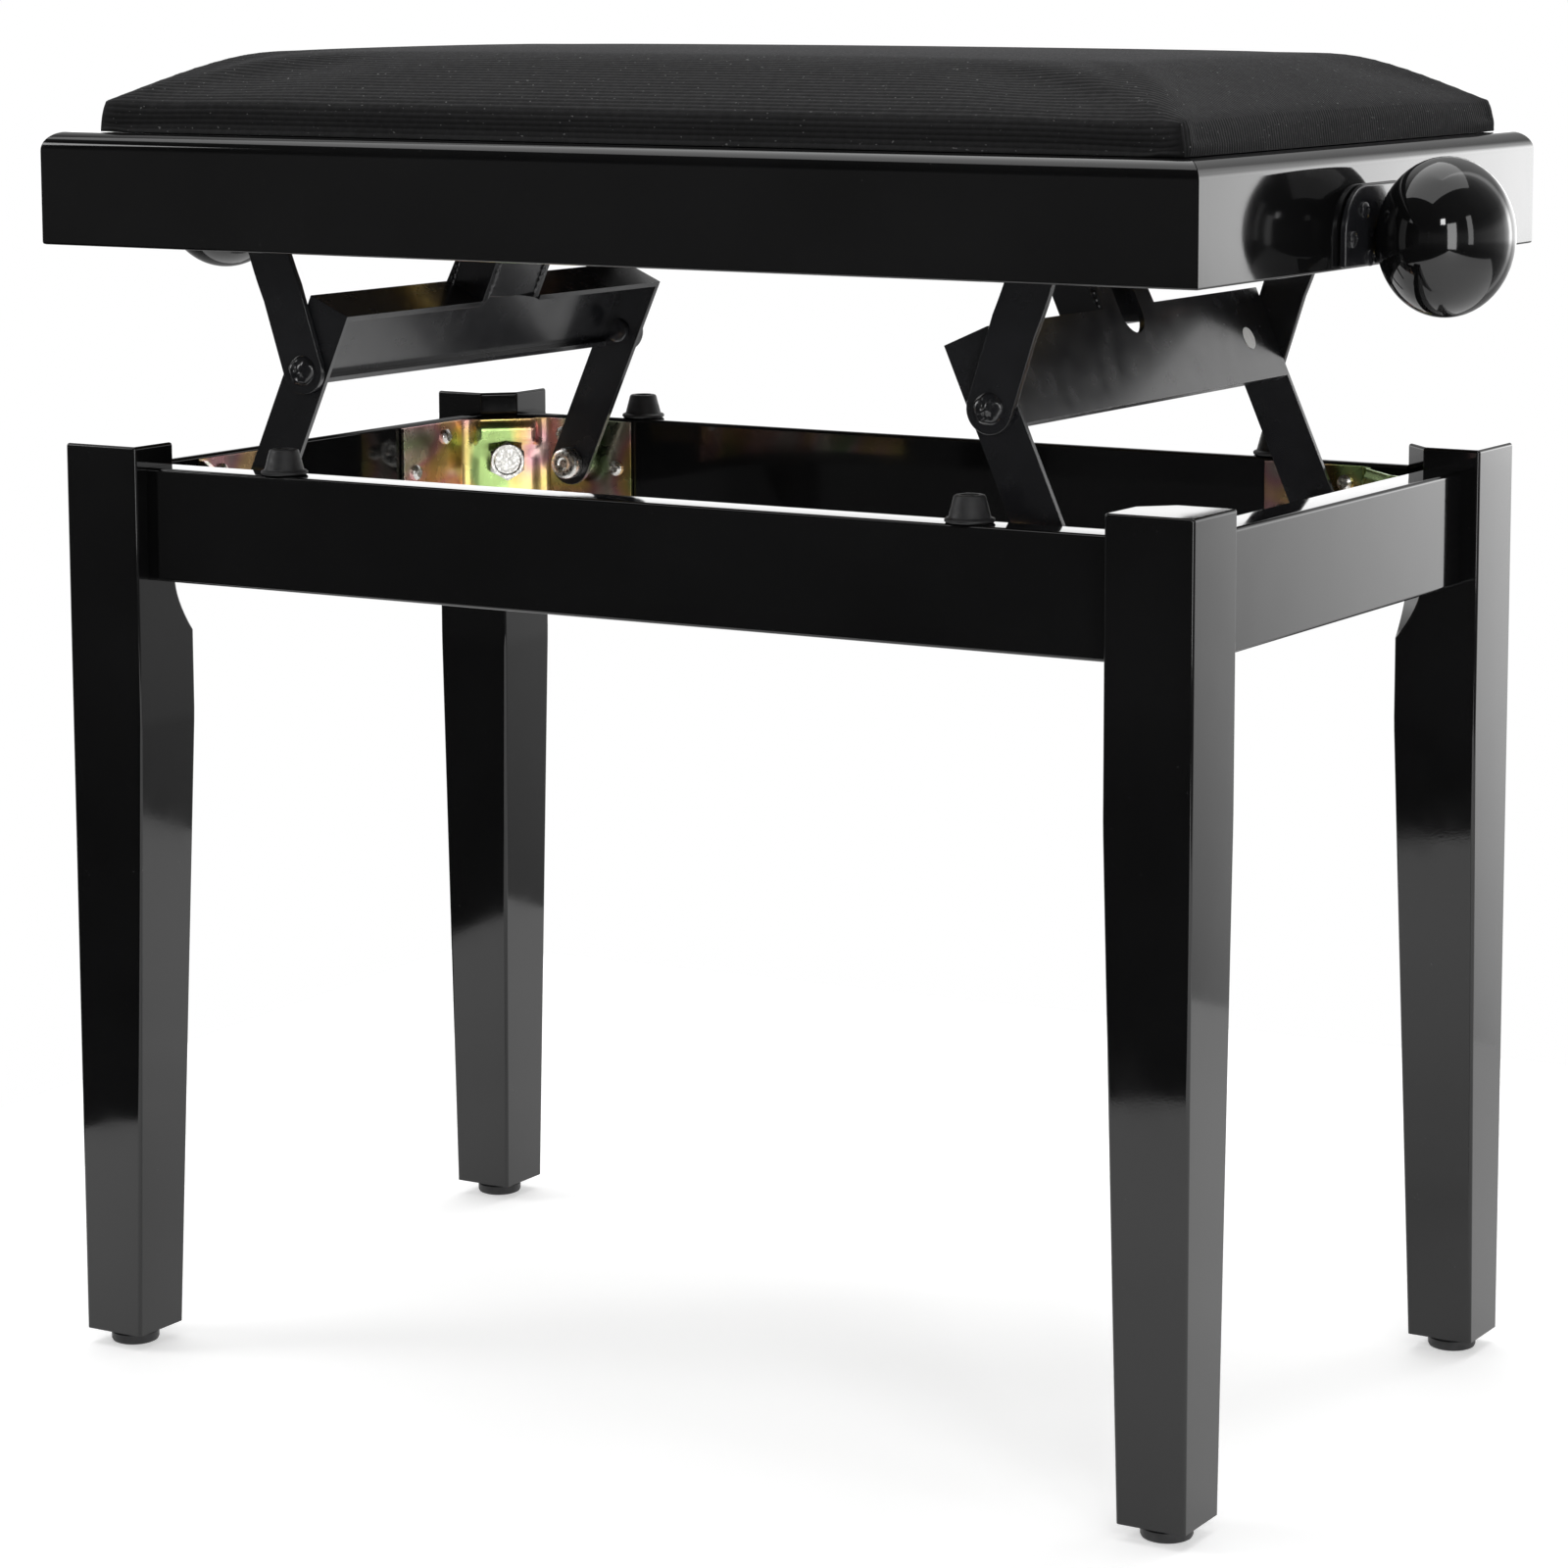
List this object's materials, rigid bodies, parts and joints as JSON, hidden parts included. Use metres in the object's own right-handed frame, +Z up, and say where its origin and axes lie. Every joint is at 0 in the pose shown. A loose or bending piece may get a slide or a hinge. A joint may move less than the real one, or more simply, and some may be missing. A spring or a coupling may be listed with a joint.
{
  "type": "height-adjustable piano bench",
  "caption": "Black gloss piano bench: a padded seat frame on a scissor linkage that a knob-turned spindle raises and lowers over a four-legged base.",
  "frame": {"origin": "on the floor, under the middle of the bench", "axes": "+X along the bench to the right, +Y to the back, +Z up"},
  "size_m": [0.6624, 0.328, 0.5728],
  "materials": {
    "gloss_lacquer": "black high-gloss lacquer over wood",
    "black_steel": "semi-gloss black painted pressed steel",
    "zinc_plate": "yellow zinc-plated steel",
    "bright_steel": "bright zinc-plated steel",
    "brass": "plain turned brass",
    "rubber": "matt black rubber",
    "corduroy": "black needlecord over foam",
    "plywood": "bare plywood"
  },
  "bodies": {
    "base": {"leg_front_left": "gloss_lacquer", "leg_front_right": "gloss_lacquer", "leg_back_left": "gloss_lacquer", "leg_back_right": "gloss_lacquer", "glide_front_left": "rubber", "glide_front_right": "rubber", "glide_back_left": "rubber", "glide_back_right": "rubber", "rail_front": "gloss_lacquer", "rail_back": "gloss_lacquer", "rail_left": "gloss_lacquer", "rail_right": "gloss_lacquer", "corner_bracket_front_left": "zinc_plate", "corner_bracket_front_right": "zinc_plate", "corner_bracket_back_left": "zinc_plate", "corner_bracket_back_right": "zinc_plate", "leg_bolt_front_left": "bright_steel", "leg_bolt_front_right": "bright_steel", "leg_bolt_back_left": "bright_steel", "leg_bolt_back_right": "bright_steel", "lower_pivot_front_left": "bright_steel", "lower_pivot_front_right": "bright_steel", "lower_pivot_back_left": "bright_steel", "lower_pivot_back_right": "bright_steel", "bumper_front_left": "rubber", "bumper_front_right": "rubber", "bumper_back_left": "rubber", "bumper_back_right": "rubber"},
    "left_link": {"left_link": "black_steel", "left_rivet_front": "black_steel", "left_rivet_back": "black_steel"},
    "left_arms": {"left_arm_front": "black_steel", "left_arm_back": "black_steel"},
    "left_nut": {"left_nut": "brass"},
    "right_link": {"right_link": "black_steel", "right_rivet_front": "black_steel", "right_rivet_back": "black_steel"},
    "right_arms": {"right_arm_front": "black_steel", "right_arm_back": "black_steel"},
    "right_nut": {"right_nut": "brass"},
    "seat": {"seat_panel_front": "gloss_lacquer", "seat_panel_back": "gloss_lacquer", "seat_panel_left": "gloss_lacquer", "seat_panel_right": "gloss_lacquer", "seat_board": "plywood", "cushion": "corduroy", "hanger_front_left": "zinc_plate", "hanger_front_right": "zinc_plate", "hanger_back_left": "zinc_plate", "hanger_back_right": "zinc_plate", "upper_pivot_front_left": "bright_steel", "upper_pivot_front_right": "bright_steel", "upper_pivot_back_left": "bright_steel", "upper_pivot_back_right": "bright_steel", "bearing_plate_left": "black_steel", "bearing_plate_right": "black_steel"},
    "spindle": {"spindle": "brass", "knob_left": "gloss_lacquer", "knob_right": "gloss_lacquer"}
  },
  "joints": [
    {"name": "left_link_tilt", "type": "hinge", "parent": "base", "child": "left_link", "pos_m": [-0.195, 0, 0.371], "axis": [0, 1, 0], "range_deg": [0, 47]},
    {"name": "left_arms_fold", "type": "hinge", "parent": "left_link", "child": "left_arms", "pos_m": [-0.1665, 0, 0.4355], "axis": [0, 1, 0], "range_deg": [-95, 0]},
    {"name": "seat_pivot", "type": "hinge", "parent": "left_arms", "child": "seat", "pos_m": [-0.195, 0, 0.5], "axis": [0, 1, 0], "range_deg": [0, 48]},
    {"name": "left_nut_turn", "type": "hinge", "parent": "left_link", "child": "left_nut", "pos_m": [-0.138, 0, 0.5], "axis": [0, 1, 0], "range_deg": [-48, 0]},
    {"name": "right_link_tilt", "type": "hinge", "parent": "base", "child": "right_link", "pos_m": [0.195, 0, 0.371], "axis": [0, 1, 0], "range_deg": [-48, 0]},
    {"name": "right_arms_fold", "type": "hinge", "parent": "right_link", "child": "right_arms", "pos_m": [0.1665, 0, 0.4355], "axis": [0, 1, 0], "range_deg": [0, 95]},
    {"name": "right_nut_turn", "type": "hinge", "parent": "right_link", "child": "right_nut", "pos_m": [0.138, 0, 0.5], "axis": [0, 1, 0], "range_deg": [0, 48]},
    {"name": "spindle_turn", "type": "hinge", "parent": "seat", "child": "spindle", "pos_m": [0, 0, 0.5], "axis": [1, 0, 0], "range_deg": [0, 6892]}
  ],
  "couplings": [
    {"joint": "left_arms_fold", "follows": "left_link_tilt", "ratio": -2},
    {"joint": "seat_pivot", "follows": "left_link_tilt", "ratio": 1},
    {"joint": "left_nut_turn", "follows": "left_link_tilt", "ratio": -1},
    {"joint": "right_link_tilt", "follows": "left_link_tilt", "ratio": -1},
    {"joint": "right_arms_fold", "follows": "left_link_tilt", "ratio": 2},
    {"joint": "right_nut_turn", "follows": "left_link_tilt", "ratio": 1},
    {"joint": "spindle_turn", "follows": "left_link_tilt", "ratio": 146}
  ]
}
